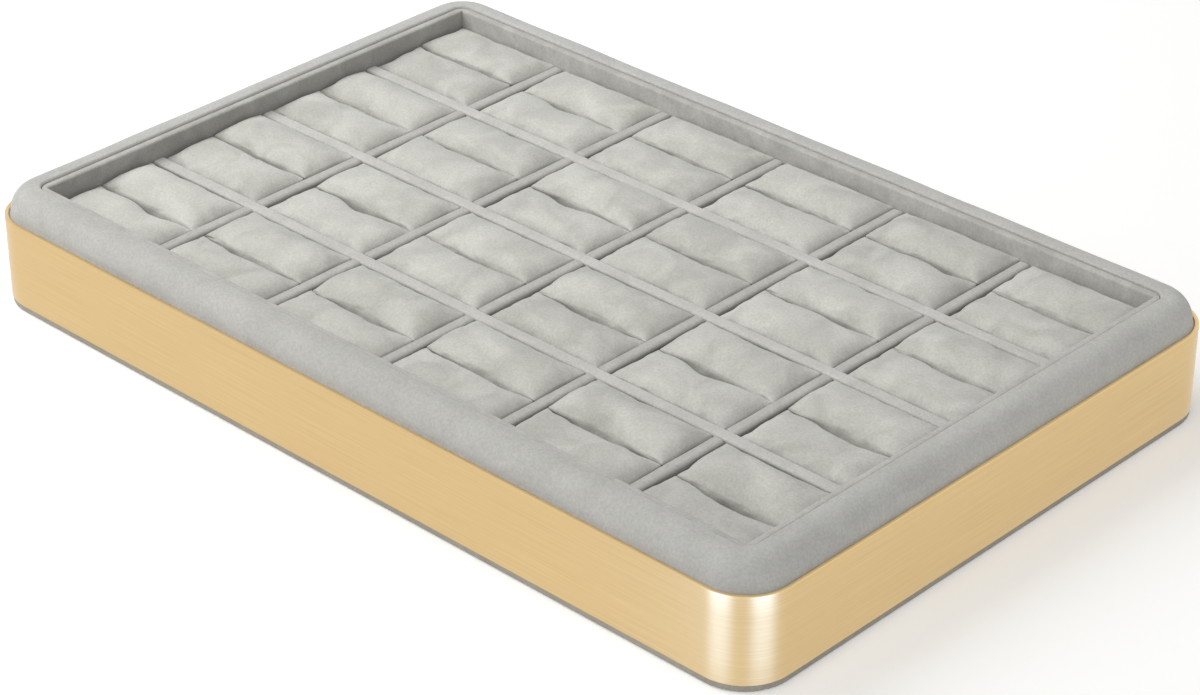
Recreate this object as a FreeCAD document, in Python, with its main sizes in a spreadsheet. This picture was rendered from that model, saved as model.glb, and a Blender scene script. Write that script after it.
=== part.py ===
import FreeCAD, Part
import os
import Sketcher

# A counter tray for rings: a brushed band round a padded rim, and a lift-out insert with a grid of cushions.
# +X runs along the tray, +Y to its back and +Z up. The origin is the middle of the underside.
doc = FreeCAD.newDocument("jewelry_tray")
sheet = doc.addObject("Spreadsheet::Sheet", "Sizes")

# Driving sizes in millimetres, and the two counts of the grid
SIZES = [
    # The outline that all the walls follow
    ("tray_length", 350.0),
    ("tray_width", 230.0),
    ("corner_radius", 17.5),
    # The wrapped panel under the tray and the board inside the band
    ("base_cover_thickness", 2.4),
    ("base_cover_inset", 0.3),
    ("base_cover_edge_round", 0.8),
    ("base_board_thickness", 6.0),
    # The bent metal band
    ("band_thickness", 1.5),
    ("band_height", 31.1),
    ("band_seam_gap", 0.3),
    ("glue_gap", 0.1),
    # The padded rim: its outer face from the outline, its width, and its height above the band
    ("rim_inset", 2.4),
    ("rim_width", 10.4),
    ("rim_height", 9.3),
    ("rim_tuck", 3.5),
    ("rim_round", 7.5),
    ("rim_edge_round", 1.6),
    ("rim_skin", 0.8),
    # The insert that lifts out of the rim
    ("insert_clearance", 0.4),
    ("insert_floor_thickness", 3.0),
    ("liner_thickness", 2.1),
    ("liner_drop", 0.8),
    ("liner_edge_round", 0.9),
    ("well_corner_radius", 2.2),
    # The dividers and the grid
    ("divider_thickness", 4.5),
    ("divider_height", 23.3),
    ("lap_clearance", 0.1),
    ("column_count", 6),
    ("row_count", 4),
    # The cushions, each a pair of rolls
    ("pad_clearance", 0.3),
    ("pad_height", 24.6),
    ("pad_slit", 0.8),
    ("roll_crown", 3.4),
    ("roll_side_bulge", 0.4),
    ("roll_foot_inset", 0.5),
    ("roll_shoulder_inset", 0.4),
    # How far a cut runs past what it cuts
    ("cut_overrun", 1.0),
]

# A roll's sections from end to end: place along its half length, then share of its width and of its height
ROLL_STATION_SHARES = [
    (-1.0, 0.94, 0.90),
    (-0.86, 0.995, 0.962),
    (-0.5, 0.987, 0.992),
    (0.0, 0.968, 1.0),
    (0.5, 0.987, 0.992),
    (0.86, 0.995, 0.962),
    (1.0, 0.94, 0.90),
]

# A face counts as level if it rises by less than this share of its size
LEVEL_SHARE = 1e-6

for row, (alias, value) in enumerate(SIZES, start=1):
    sheet.set(f"A{row}", alias)
    sheet.set(f"B{row}", str(value))
    sheet.setAlias(f"B{row}", alias)
doc.recompute()

# Heights of the stack, from the table up
BOARD_BOTTOM = "Sizes.base_cover_thickness"
BOARD_TOP = f"({BOARD_BOTTOM} + Sizes.base_board_thickness)"
BAND_TOP = "(Sizes.base_cover_thickness + Sizes.band_height)"
RAIL_TOP = f"({BAND_TOP} - Sizes.rim_tuck)"
RIM_TOP = f"({BAND_TOP} + Sizes.rim_height)"
FLOOR_TOP = f"({BOARD_TOP} + Sizes.insert_floor_thickness)"
LINER_TOP = f"({RIM_TOP} - Sizes.liner_drop)"

# Insets from the outline to each face, from the band inwards
BAND_INNER = "Sizes.band_thickness"
CORE_OUTER = "(Sizes.band_thickness + Sizes.glue_gap)"
RIM_INNER = "(Sizes.rim_inset + Sizes.rim_width)"
LINER_OUTER = f"({RIM_INNER} + Sizes.insert_clearance)"
WELL = f"({LINER_OUTER} + Sizes.liner_thickness)"

# Corner radii inside the wall grow outwards from the well's own corner
LINER_CORNER = "(Sizes.well_corner_radius + Sizes.liner_thickness)"
RIM_INNER_CORNER = f"({LINER_CORNER} + Sizes.insert_clearance)"

# The grid inside the well
WELL_LENGTH = f"(Sizes.tray_length - 2 * {WELL})"
WELL_WIDTH = f"(Sizes.tray_width - 2 * {WELL})"
CELL_LENGTH = f"(({WELL_LENGTH} - (Sizes.column_count - 1) * Sizes.divider_thickness) / Sizes.column_count)"
CELL_WIDTH = f"(({WELL_WIDTH} - (Sizes.row_count - 1) * Sizes.divider_thickness) / Sizes.row_count)"
COLUMN_PITCH = f"({CELL_LENGTH} + Sizes.divider_thickness)"
ROW_PITCH = f"({CELL_WIDTH} + Sizes.divider_thickness)"

pieces = []


def number(expression):
    """The present value of an expression over the sheet."""
    return float(sheet.evalExpression(expression))


def point(across, up):
    return FreeCAD.Vector(across, up, 0)


def keep(piece, label):
    """Names a finished sub-part and puts it on the list of what is written."""
    piece.Label = label
    pieces.append(piece)
    return piece


def place(piece, **offsets):
    """Binds a sub-part's place along x, y or z to an expression."""
    for axis, expression in offsets.items():
        piece.setExpression(f"Placement.Base.{axis}", expression)


def new_sketch(body, name, role, offset=None):
    """A sketch on one of the body's own planes, moved along that plane's normal."""
    sketch = body.newObject("Sketcher::SketchObject", name)
    plane = next(feature for feature in body.Origin.OriginFeatures if feature.Role == role)
    sketch.AttachmentSupport = [(plane, "")]
    sketch.MapMode = "FlatFace"
    if offset is not None:
        sketch.setExpression("AttachmentOffset.Base.z", offset)
    return sketch


def hold(sketch, name, kind, *where_and_expression):
    """Adds a named dimension to a sketch and binds it to the sheet."""
    *where, expression = where_and_expression
    index = sketch.addConstraint(Sketcher.Constraint(kind, *where, number(expression)))
    sketch.renameConstraint(index, name)
    sketch.setExpression(f"Constraints.{name}", expression)


def relate(sketch, kind, *where):
    sketch.addConstraint(Sketcher.Constraint(kind, *where))


def draw_rounded_rectangle(sketch, name, length, width, radius):
    """Four lines and four corner arcs about the origin."""
    half_length = number(length) / 2
    half_width = number(width) / 2
    corner = number(radius)
    x = half_length - corner
    y = half_width - corner
    ends = [
        (point(-x, -half_width), point(x, -half_width)),
        (point(half_length, -y), point(half_length, y)),
        (point(x, half_width), point(-x, half_width)),
        (point(-half_length, y), point(-half_length, -y)),
    ]
    centres = [point(x, -y), point(x, y), point(-x, y), point(-x, -y)]
    turn = FreeCAD.Units.Quantity("90 deg").getValueAs("rad").Value
    lines = []
    arcs = []
    for side in range(4):
        lines.append(sketch.addGeometry(Part.LineSegment(*ends[side])))
        circle = Part.Circle(centres[side], FreeCAD.Vector(0, 0, 1), corner)
        arcs.append(sketch.addGeometry(Part.ArcOfCircle(circle, turn * (side - 1), turn * side)))
    for side in range(4):
        relate(sketch, "Tangent", lines[side], 2, arcs[side], 1)
        relate(sketch, "Tangent", arcs[side], 2, lines[(side + 1) % 4], 1)
        relate(sketch, "Vertical" if side % 2 else "Horizontal", lines[side])
    for side in range(3):
        relate(sketch, "Equal", arcs[side], arcs[side + 1])
    relate(sketch, "Symmetric", arcs[1], 3, arcs[3], 3, -1, 1)
    hold(sketch, f"{name}_radius", "Radius", arcs[0], radius)
    hold(sketch, f"{name}_length", "DistanceX", lines[3], 1, lines[1], 1, length)
    hold(sketch, f"{name}_width", "DistanceY", lines[0], 1, lines[2], 1, width)


def draw_polygon(sketch, corners):
    """A closed outline whose corners are pairs of expressions."""
    spots = [point(number(across), number(up)) for across, up in corners]
    lines = []
    for here, there in zip(spots, spots[1:] + spots[:1]):
        lines.append(sketch.addGeometry(Part.LineSegment(here, there)))
    for index, line in enumerate(lines):
        relate(sketch, "Coincident", line, 2, lines[(index + 1) % len(lines)], 1)
        across, up = corners[index]
        hold(sketch, f"across_{index}", "DistanceX", -1, 1, line, 1, across)
        hold(sketch, f"up_{index}", "DistanceY", -1, 1, line, 1, up)


def draw_strip_section(sketch, thickness, height):
    """A strip standing on the origin, with a full round along its top."""
    half = number(thickness) / 2
    shoulder = number(height) - half
    foot = sketch.addGeometry(Part.LineSegment(point(-half, 0), point(half, 0)))
    right = sketch.addGeometry(Part.LineSegment(point(half, 0), point(half, shoulder)))
    circle = Part.Circle(point(0, shoulder), FreeCAD.Vector(0, 0, 1), half)
    half_turn = FreeCAD.Units.Quantity("180 deg").getValueAs("rad").Value
    top = sketch.addGeometry(Part.ArcOfCircle(circle, 0, half_turn))
    left = sketch.addGeometry(Part.LineSegment(point(-half, shoulder), point(-half, 0)))
    relate(sketch, "Coincident", foot, 2, right, 1)
    relate(sketch, "Coincident", left, 2, foot, 1)
    relate(sketch, "Tangent", right, 2, top, 1)
    relate(sketch, "Tangent", top, 2, left, 1)
    relate(sketch, "Vertical", right)
    relate(sketch, "Vertical", left)
    relate(sketch, "Symmetric", foot, 1, foot, 2, -2)
    relate(sketch, "PointOnObject", foot, 1, -1)
    hold(sketch, "thickness", "DistanceX", foot, 1, foot, 2, thickness)
    hold(sketch, "shoulder", "DistanceY", -1, 1, top, 3, f"{height} - {thickness} / 2")


def pad(body, sketch, length, both_ways=False):
    feature = body.newObject("PartDesign::Pad", "Pad")
    feature.Profile = sketch
    feature.SideType = "Symmetric" if both_ways else "One side"
    feature.setExpression("Length", length)
    doc.recompute()
    return feature


def cut_through(body, sketch):
    """A pocket through the whole body, both ways from its sketch."""
    before = body.Shape.Volume
    feature = body.newObject("PartDesign::Pocket", "Pocket")
    feature.Profile = sketch
    feature.Type = "ThroughAll"
    feature.SideType = "Symmetric"
    doc.recompute()
    if body.Shape.Volume >= before:
        raise RuntimeError(f"{body.Name}: the pocket cut nothing")
    return feature


def level_face(shape, highest):
    """The highest or lowest flat face of a shape."""
    flat = []
    for face in shape.Faces:
        if face.BoundBox.ZLength < face.BoundBox.DiagonalLength * LEVEL_SHARE:
            flat.append(face)
    return sorted(flat, key=lambda face: face.BoundBox.ZMin)[-1 if highest else 0]


def edge_names(shape, wanted):
    names = []
    for index, edge in enumerate(shape.Edges, start=1):
        if any(edge.isSame(other) for other in wanted):
            names.append(f"Edge{index}")
    return names


def round_edges(body, base, wanted, radius):
    feature = body.newObject("PartDesign::Fillet", "Fillet")
    feature.Base = (base, edge_names(base.Shape, wanted))
    feature.setExpression("Radius", radius)
    doc.recompute()
    return feature


def inside_outline(inset):
    """Length and width of an outline that runs inside the tray's own."""
    return f"Sizes.tray_length - 2 * {inset}", f"Sizes.tray_width - 2 * {inset}"


def make_panel(label, inset, radius, thickness, bottom):
    """A flat panel with rounded corners."""
    body = doc.addObject("PartDesign::Body", label)
    sketch = new_sketch(body, f"{label}_outline", "XY_Plane")
    draw_rounded_rectangle(sketch, "outline", *inside_outline(inset), radius)
    pad(body, sketch, thickness)
    if bottom is not None:
        place(body, z=bottom)
    return body


def make_ring(label, outer, outer_radius, inner, inner_radius, bottom, height):
    """An upright wall between two rounded rectangles, each given by its inset and corner radius."""
    body = doc.addObject("PartDesign::Body", label)
    sketch = new_sketch(body, f"{label}_outline", "XY_Plane")
    draw_rounded_rectangle(sketch, "outer", *inside_outline(outer), outer_radius)
    draw_rounded_rectangle(sketch, "inner", *inside_outline(inner), inner_radius)
    feature = pad(body, sketch, height)
    place(body, z=bottom)
    return body, feature


def make_base_cover():
    """The wrapped panel that the tray stands on, rounded where the cloth turns under."""
    radius = "Sizes.corner_radius - Sizes.base_cover_inset"
    body = make_panel("base_cover", "Sizes.base_cover_inset", radius, "Sizes.base_cover_thickness", None)
    under = level_face(body.Tip.Shape, highest=False)
    round_edges(body, body.Tip, under.Edges, "Sizes.base_cover_edge_round")
    keep(body, "base_cover")


def make_base_board():
    radius = f"Sizes.corner_radius - {CORE_OUTER}"
    body = make_panel("base_board", CORE_OUTER, radius, "Sizes.base_board_thickness", BOARD_BOTTOM)
    keep(body, "base_board")


def make_gold_band():
    """One strip bent round the tray, its two ends butted at the middle of the back."""
    outer_radius = "Sizes.corner_radius"
    inner_radius = f"Sizes.corner_radius - {BAND_INNER}"
    height = "Sizes.band_height"
    body, _ = make_ring("gold_band", "0", outer_radius, BAND_INNER, inner_radius, BOARD_BOTTOM, height)
    seam = new_sketch(body, "band_seam", "XY_Plane")
    half_gap = "Sizes.band_seam_gap / 2"
    back = f"Sizes.tray_width / 2 - {BAND_INNER} - Sizes.cut_overrun"
    past = "Sizes.tray_width / 2 + Sizes.cut_overrun"
    corners = [(f"-{half_gap}", back), (half_gap, back), (half_gap, past), (f"-{half_gap}", past)]
    draw_polygon(seam, corners)
    cut_through(body, seam)
    keep(body, "gold_band")


def make_mitre_wedges():
    """Four wedges that part a rectangular wall at its mitred corners."""
    depth = f"({WELL} + Sizes.cut_overrun)"
    right = "Sizes.tray_length / 2"
    back = "Sizes.tray_width / 2"
    left = f"-{right}"
    front = f"-{back}"
    plans = {
        "front": [(left, front), (right, front), (f"{right} - {depth}", f"{front} + {depth}"),
                  (f"{left} + {depth}", f"{front} + {depth}")],
        "right": [(right, front), (right, back), (f"{right} - {depth}", f"{back} - {depth}"),
                  (f"{right} - {depth}", f"{front} + {depth}")],
        "back": [(right, back), (left, back), (f"{left} + {depth}", f"{back} - {depth}"),
                 (f"{right} - {depth}", f"{back} - {depth}")],
        "left": [(left, back), (left, front), (f"{left} + {depth}", f"{front} + {depth}"),
                 (f"{left} + {depth}", f"{back} - {depth}")],
    }
    wedges = {}
    for side, corners in plans.items():
        wedge = doc.addObject("PartDesign::Body", f"{side}_wedge")
        sketch = new_sketch(wedge, f"{side}_plan", "XY_Plane")
        draw_polygon(sketch, corners)
        pad(wedge, sketch, f"{RIM_TOP} + Sizes.cut_overrun")
        wedges[side] = wedge
    return wedges


def part_at_mitres(wall, name, wedges):
    """The four mitred sides of a wall, each its own sub-part."""
    for side, wedge in wedges.items():
        piece = doc.addObject("Part::Common", f"{name}_{side}")
        piece.Base = wall
        piece.Tool = wedge
        keep(piece, f"{name}_{side}")


def make_rails(wedges):
    """The wooden wall behind the band, which the rim is stretched over."""
    outer_radius = f"Sizes.corner_radius - {CORE_OUTER}"
    height = f"{RAIL_TOP} - {BOARD_TOP}"
    wall, _ = make_ring("rail_wall", CORE_OUTER, outer_radius, RIM_INNER, RIM_INNER_CORNER, BOARD_TOP, height)
    part_at_mitres(wall, "rail", wedges)


def make_rim_ring(label, skin):
    """The rim's bullnose, or what lies a skin's thickness inside it."""
    outer = f"(Sizes.rim_inset + {skin})"
    inner = f"({RIM_INNER} - {skin})"
    outer_radius = f"Sizes.corner_radius - {outer}"
    inner_radius = f"{RIM_INNER_CORNER} + {skin}"
    height = f"{RIM_TOP} - {RAIL_TOP} - {skin}"
    body, wall = make_ring(label, outer, outer_radius, inner, inner_radius, RAIL_TOP, height)
    crest = level_face(wall.Shape, highest=True)
    nose = round_edges(body, wall, crest.OuterWire.Edges, f"Sizes.rim_round - {skin}")
    crest = level_face(nose.Shape, highest=True)
    outer_edges = crest.OuterWire.Edges
    seam_edges = [edge for edge in crest.Edges if not any(edge.isSame(other) for other in outer_edges)]
    round_edges(body, nose, seam_edges, f"Sizes.rim_edge_round - {skin}")
    return body


def make_rim(wedges):
    """Four foam strips on the rails, and one piece of microfibre stretched over them."""
    whole = make_rim_ring("rim_whole", "0")
    padding = make_rim_ring("padding_ring", "Sizes.rim_skin")
    cover = doc.addObject("Part::Cut", "rim_cover")
    cover.Base = whole
    cover.Tool = padding
    part_at_mitres(padding, "rim_padding", wedges)
    keep(cover, "rim_cover")


def make_insert_floor():
    thickness = "Sizes.insert_floor_thickness"
    keep(make_panel("insert_floor", LINER_OUTER, LINER_CORNER, thickness, BOARD_TOP), "insert_floor")


def make_liner(wedges):
    """Four wrapped strips that stand on the insert's floor, inside the rim."""
    height = f"{LINER_TOP} - {FLOOR_TOP}"
    wall, feature = make_ring(
        "liner_wall", LINER_OUTER, LINER_CORNER, WELL, "Sizes.well_corner_radius", FLOOR_TOP, height
    )
    crest = level_face(feature.Shape, highest=True)
    round_edges(wall, feature, crest.Edges, "Sizes.liner_edge_round")
    part_at_mitres(wall, "liner", wedges)


def make_divider(label, section_plane, slot_plane, length, slot_count, slot_pitch, slot_from_top):
    """A wrapped strip with half-lap slots for the strips that it crosses."""
    body = doc.addObject("PartDesign::Body", label)
    section = new_sketch(body, f"{label}_section", section_plane)
    draw_strip_section(section, "Sizes.divider_thickness", "Sizes.divider_height")
    pad(body, section, length, both_ways=True)
    slots = new_sketch(body, f"{label}_lap", slot_plane)
    half_slot = "(Sizes.divider_thickness / 2 + Sizes.lap_clearance)"
    first = f"({slot_count} - 1) / 2 * {slot_pitch}"
    middle = "Sizes.divider_height / 2"
    end = "Sizes.divider_height + Sizes.cut_overrun" if slot_from_top else "-Sizes.cut_overrun"
    lower, upper = (middle, end) if slot_from_top else (end, middle)
    left = f"-({first}) - {half_slot}"
    right = f"-({first}) + {half_slot}"
    draw_polygon(slots, [(left, lower), (right, lower), (right, upper), (left, upper)])
    lap = cut_through(body, slots)
    row = body.newObject("PartDesign::LinearPattern", "Laps")
    row.Originals = [lap]
    row.Direction = (slots, ["H_Axis"])
    row.Mode = "Spacing"
    row.setExpression("Offset", slot_pitch)
    row.setExpression("Occurrences", slot_count)
    body.Tip = row
    place(body, z=FLOOR_TOP)
    return keep(body, label)


def make_dividers():
    """The long strips are slotted from below and pass over the cross strips, which are slotted from above."""
    cross_count = "(Sizes.column_count - 1)"
    long_count = "(Sizes.row_count - 1)"
    for index in range(1, int(number("Sizes.row_count"))):
        label = f"long_divider_{index}"
        strip = make_divider(label, "YZ_Plane", "XZ_Plane", WELL_LENGTH, cross_count, COLUMN_PITCH, False)
        place(strip, y=f"({index} - Sizes.row_count / 2) * {ROW_PITCH}")
    for index in range(1, int(number("Sizes.column_count"))):
        label = f"cross_divider_{index}"
        strip = make_divider(label, "XZ_Plane", "YZ_Plane", WELL_WIDTH, long_count, ROW_PITCH, True)
        place(strip, x=f"({index} - Sizes.column_count / 2) * {COLUMN_PITCH}")


def draw_roll_section(sketch, width, height):
    """A cushion's section: flat foot, sides that bulge a little, and a crown over them."""
    foot = f"({width} - 2 * Sizes.roll_foot_inset)"
    shoulder = f"({width} - 2 * Sizes.roll_shoulder_inset)"
    rise = f"({height} - Sizes.roll_crown)"
    lean = f"((({foot} - {shoulder}) / 2) ^ 2 + {rise} ^ 2)"
    side_radius = f"{lean} / (8 * Sizes.roll_side_bulge) + Sizes.roll_side_bulge / 2"
    crown_radius = f"{shoulder} ^ 2 / (8 * Sizes.roll_crown) + Sizes.roll_crown / 2"
    half_foot = number(foot) / 2
    half_shoulder = number(shoulder) / 2
    up = number(rise)
    out = (half_foot + half_shoulder) / 2 + number("Sizes.roll_side_bulge")
    low_right = point(half_foot, 0)
    high_right = point(half_shoulder, up)
    high_left = point(-half_shoulder, up)
    low_left = point(-half_foot, 0)
    line = sketch.addGeometry(Part.LineSegment(low_left, low_right))
    right = sketch.addGeometry(Part.Arc(low_right, point(out, up / 2), high_right))
    crown = sketch.addGeometry(Part.Arc(high_right, point(0, number(height)), high_left))
    left = sketch.addGeometry(Part.Arc(high_left, point(-out, up / 2), low_left))
    relate(sketch, "Coincident", line, 2, right, 1)
    relate(sketch, "Coincident", right, 2, crown, 1)
    relate(sketch, "Coincident", crown, 2, left, 1)
    relate(sketch, "Coincident", left, 2, line, 1)
    relate(sketch, "Symmetric", line, 1, line, 2, -2)
    relate(sketch, "PointOnObject", line, 1, -1)
    relate(sketch, "Symmetric", crown, 1, crown, 2, -2)
    relate(sketch, "Equal", right, left)
    hold(sketch, "foot", "DistanceX", line, 1, line, 2, foot)
    hold(sketch, "shoulder", "DistanceX", crown, 2, crown, 1, shoulder)
    hold(sketch, "rise", "DistanceY", -1, 1, crown, 1, rise)
    hold(sketch, "side_radius", "Radius", right, side_radius)
    hold(sketch, "crown_radius", "Radius", crown, crown_radius)


def make_roll():
    """One padded roll, crowned, drawn in at its ends and a little along its sides."""
    length = f"({CELL_LENGTH} - 2 * Sizes.pad_clearance)"
    width = f"(({CELL_WIDTH} - 2 * Sizes.pad_clearance - Sizes.pad_slit) / 2)"
    body = doc.addObject("PartDesign::Body", "ring_roll")
    sections = []
    for index, (place_share, width_share, height_share) in enumerate(ROLL_STATION_SHARES):
        sketch = new_sketch(body, f"roll_section_{index}", "YZ_Plane", f"{place_share} * {length} / 2")
        draw_roll_section(sketch, f"({width_share} * {width})", f"({height_share} * Sizes.pad_height)")
        sections.append(sketch)
    loft = body.newObject("PartDesign::AdditiveLoft", "roll_loft")
    loft.Profile = sections[0]
    loft.Sections = sections[1:]
    place(body, y=f"({width} + Sizes.pad_slit) / 2")
    return body


def make_ring_pads():
    """A pair of rolls in every cell, with the slit that grips a ring between them."""
    back_roll = make_roll()
    front_roll = doc.addObject("Part::Mirroring", "ring_roll_front")
    front_roll.Source = back_roll
    front_roll.Normal = FreeCAD.Vector(0, 1, 0)
    for row in range(1, int(number("Sizes.row_count")) + 1):
        for column in range(1, int(number("Sizes.column_count")) + 1):
            label = f"ring_pad_r{row}_c{column}"
            pair = doc.addObject("Part::Compound", label)
            pair.Links = [front_roll, back_roll]
            x = f"({column} - (Sizes.column_count + 1) / 2) * {COLUMN_PITCH}"
            y = f"({row} - (Sizes.row_count + 1) / 2) * {ROW_PITCH}"
            place(pair, x=x, y=y, z=FLOOR_TOP)
            keep(pair, label)


make_base_cover()
make_base_board()
make_gold_band()
mitre_wedges = make_mitre_wedges()
make_rails(mitre_wedges)
make_rim(mitre_wedges)
make_insert_floor()
make_liner(mitre_wedges)
make_dividers()
make_ring_pads()
doc.recompute()

# Nothing is written unless every object is sound
for item in doc.Objects:
    if "Invalid" in item.State or "Error" in item.State:
        raise RuntimeError(f"{item.Label} failed: {item.State}")
for piece in pieces:
    if piece.Shape.isNull() or not piece.Shape.isValid() or not piece.Shape.Solids:
        raise RuntimeError(f"{piece.Label} has no sound shape")

os.makedirs("parts", exist_ok=True)
for piece in pieces:
    piece.Shape.exportStep(f"parts/{piece.Label}.step")
print(f"{len(pieces)} sub-parts written")
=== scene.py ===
# %% [markdown]
# # A ring tray with a brushed gold band
# The construction model comes in as a fixed frame, in metres, with +X along the tray, +Y to its back and +Z
# up. This lesson dresses it. The boards and rails keep their own shape and get a finish. Each soft or shiny
# piece gets a finer mesh that stands where the frame has it and moves with the same body.

import math

import bpy
import numpy as np
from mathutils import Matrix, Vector, noise


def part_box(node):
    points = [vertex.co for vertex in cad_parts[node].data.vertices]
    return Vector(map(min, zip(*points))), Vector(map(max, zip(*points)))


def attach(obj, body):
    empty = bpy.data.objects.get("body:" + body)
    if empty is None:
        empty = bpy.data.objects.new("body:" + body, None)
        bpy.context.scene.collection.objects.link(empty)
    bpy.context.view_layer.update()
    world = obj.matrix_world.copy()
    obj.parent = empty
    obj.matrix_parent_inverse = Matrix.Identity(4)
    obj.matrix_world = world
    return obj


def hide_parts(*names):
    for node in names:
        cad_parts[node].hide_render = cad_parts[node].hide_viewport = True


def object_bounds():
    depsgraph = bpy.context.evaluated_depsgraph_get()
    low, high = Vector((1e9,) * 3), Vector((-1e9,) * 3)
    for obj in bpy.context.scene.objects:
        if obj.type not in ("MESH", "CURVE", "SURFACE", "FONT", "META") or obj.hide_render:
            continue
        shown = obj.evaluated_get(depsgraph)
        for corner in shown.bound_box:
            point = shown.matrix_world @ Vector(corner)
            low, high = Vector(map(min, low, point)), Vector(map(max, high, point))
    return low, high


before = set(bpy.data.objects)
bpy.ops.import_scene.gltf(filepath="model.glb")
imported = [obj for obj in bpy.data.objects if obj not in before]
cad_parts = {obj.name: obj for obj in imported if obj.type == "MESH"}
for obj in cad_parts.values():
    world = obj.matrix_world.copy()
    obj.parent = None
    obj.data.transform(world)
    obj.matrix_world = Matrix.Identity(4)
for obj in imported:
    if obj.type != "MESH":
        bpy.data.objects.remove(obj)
cad_low, cad_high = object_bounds()
MM = 0.001
print("box in mm:", [round(side / MM, 1) for side in cad_high - cad_low])

# %% [markdown]
# ## Camera
# The view was solved from the tray's own straight edges. It looks down at about thirty degrees from beyond
# the near corner, with a long lens, so that parallel edges hardly converge. A camera in Blender looks along
# its own -Z axis, which sets how it is turned.

# %% Camera
CAMERA_AZIMUTH = math.radians(43.55)
CAMERA_ELEVATION = math.radians(30.33)
CAMERA_DISTANCE = 1162.3 * MM
AIM_RIGHT = 5.05 * MM
AIM_UP = 0.58 * MM
SENSOR_WIDTH_MM = 36.0
LENS_MM = 103.136

scene = bpy.context.scene
right = Vector((math.cos(CAMERA_AZIMUTH), math.sin(CAMERA_AZIMUTH), 0))
back = Vector((math.sin(CAMERA_AZIMUTH), -math.cos(CAMERA_AZIMUTH), 0)) * math.cos(CAMERA_ELEVATION)
back.z = math.sin(CAMERA_ELEVATION)
up = back.cross(right)
lens = bpy.data.cameras.new("camera")
lens.sensor_width = SENSOR_WIDTH_MM
lens.lens = LENS_MM
camera = bpy.data.objects.new("camera", lens)
scene.collection.objects.link(camera)
camera.location = back * CAMERA_DISTANCE + right * AIM_RIGHT + up * AIM_UP
camera.rotation_euler = (-back).to_track_quat("-Z", "Y").to_euler()
bpy.context.scene.camera = camera
print("camera at", [round(x, 3) for x in camera.location])

# %% [markdown]
# ## Colours and nodes
# Every finish below is a small network of nodes. One function turns an sRGB hex value into the linear
# numbers that the renderer works in, by the curve of the sRGB standard. Another adds a node, sets it up and
# links it in one line, so that a material reads from top to bottom.

# %% Helpers for materials
def linear(hex_colour):
    """An sRGB hex value as linear red, green, blue and full alpha."""
    channels = [int(hex_colour[place:place + 2], 16) / 255 for place in (1, 3, 5)]
    return *(c / 12.92 if c <= 0.04045 else ((c + 0.055) / 1.055) ** 2.4 for c in channels), 1.0


def add(tree, kind, inputs=None, **settings):
    """Adds a node to a tree. A socket given as an input is linked, and any other value is set."""
    node = tree.nodes.new(kind)
    for name, value in settings.items():
        setattr(node, name, value)
    for key, value in (inputs or {}).items():
        if isinstance(value, bpy.types.NodeSocket):
            tree.links.new(value, node.inputs[key])
        else:
            node.inputs[key].default_value = value
    return node


def set_stops(ramp, places, colours):
    """Puts the two stops of a colour ramp at their places, each with its sRGB hex value."""
    for stop, place, colour in zip(ramp.color_ramp.elements, places, colours):
        stop.position = place
        stop.color = linear(colour)


def new_material(name, **surface):
    """A material whose one shader takes the given constants on its own sockets."""
    material = bpy.data.materials.new(name)
    material.use_nodes = True
    tree = material.node_tree
    shader = tree.nodes["Principled BSDF"]
    for socket, value in surface.items():
        shader.inputs[socket.replace("_", " ")].default_value = value
    return material, tree, shader


WHITE = linear("#FFFFFF")
scene.view_settings.view_transform = "Standard"
print("colour check, mid grey:", round(linear("#808080")[0], 4))

# %% [markdown]
# ## Surroundings
# The tray was lit softly, and bright surroundings give about half of the light. They are a little brighter
# to the front and to the right. A picture of a studio could be wrapped round the scene, but a level that
# follows the direction is enough for so soft a light. The camera and mirror-like rays see plain white
# instead.

# %% World
AMBIENT = 0.56
FRONT_GRADE = 0.30
RIGHT_GRADE = 0.25

scene.world = bpy.data.worlds.new("studio")
scene.world.use_nodes = True
tree = scene.world.node_tree
tree.nodes.clear()
ray = add(tree, "ShaderNodeLightPath").outputs
seen = add(tree, "ShaderNodeMath", {0: ray["Is Camera Ray"], 1: ray["Is Glossy Ray"]})
seen = add(tree, "ShaderNodeMath", {0: seen.outputs[0], 1: ray["Is Transmission Ray"]}, use_clamp=True)
facing = add(tree, "ShaderNodeTexCoord").outputs["Generated"]
brighter = (RIGHT_GRADE, -FRONT_GRADE, 0.0)
grade = add(tree, "ShaderNodeVectorMath", {0: facing, 1: brighter}, operation="DOT_PRODUCT")
level = add(tree, "ShaderNodeMath", {0: grade.outputs["Value"], 1: AMBIENT})
soft = add(tree, "ShaderNodeBackground", {"Color": WHITE, "Strength": level.outputs[0]})
white = add(tree, "ShaderNodeBackground", {"Color": WHITE, "Strength": 1.0})
mix = add(tree, "ShaderNodeMixShader", {0: seen.outputs[0], 1: soft.outputs[0], 2: white.outputs[0]})
add(tree, "ShaderNodeOutputWorld", {"Surface": mix.outputs[0]})
print("light from the surroundings:", AMBIENT)

# %% [markdown]
# ## Floor
# The tray stands on a white sheet of studio paper, which keeps its soft shadow. For the camera the paper is
# lifted towards the white of the background, more so further out, so that no horizon shows. In the metal it
# is part paper and part even white, because the shadow of the tray would make the band too dark.

# %% Floor
FLOOR_HALF = 3.0
FLOOR_COLOUR = "#F4F4F3"
FLOOR_LIFT = {"near": 0.22, "far": 0.5}
FLOOR_LIFT_REACH = {"near": 0.4, "far": 1.2}
FLOOR_EVEN_SHARE = 0.55

corners = [(x * FLOOR_HALF, y * FLOOR_HALF, 0) for x, y in ((-1, -1), (1, -1), (1, 1), (-1, 1))]
sheet = bpy.data.meshes.new("floor")
sheet.from_pydata(corners, [], [(0, 1, 2, 3)])
floor = bpy.data.objects.new("floor", sheet)
scene.collection.objects.link(floor)

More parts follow.
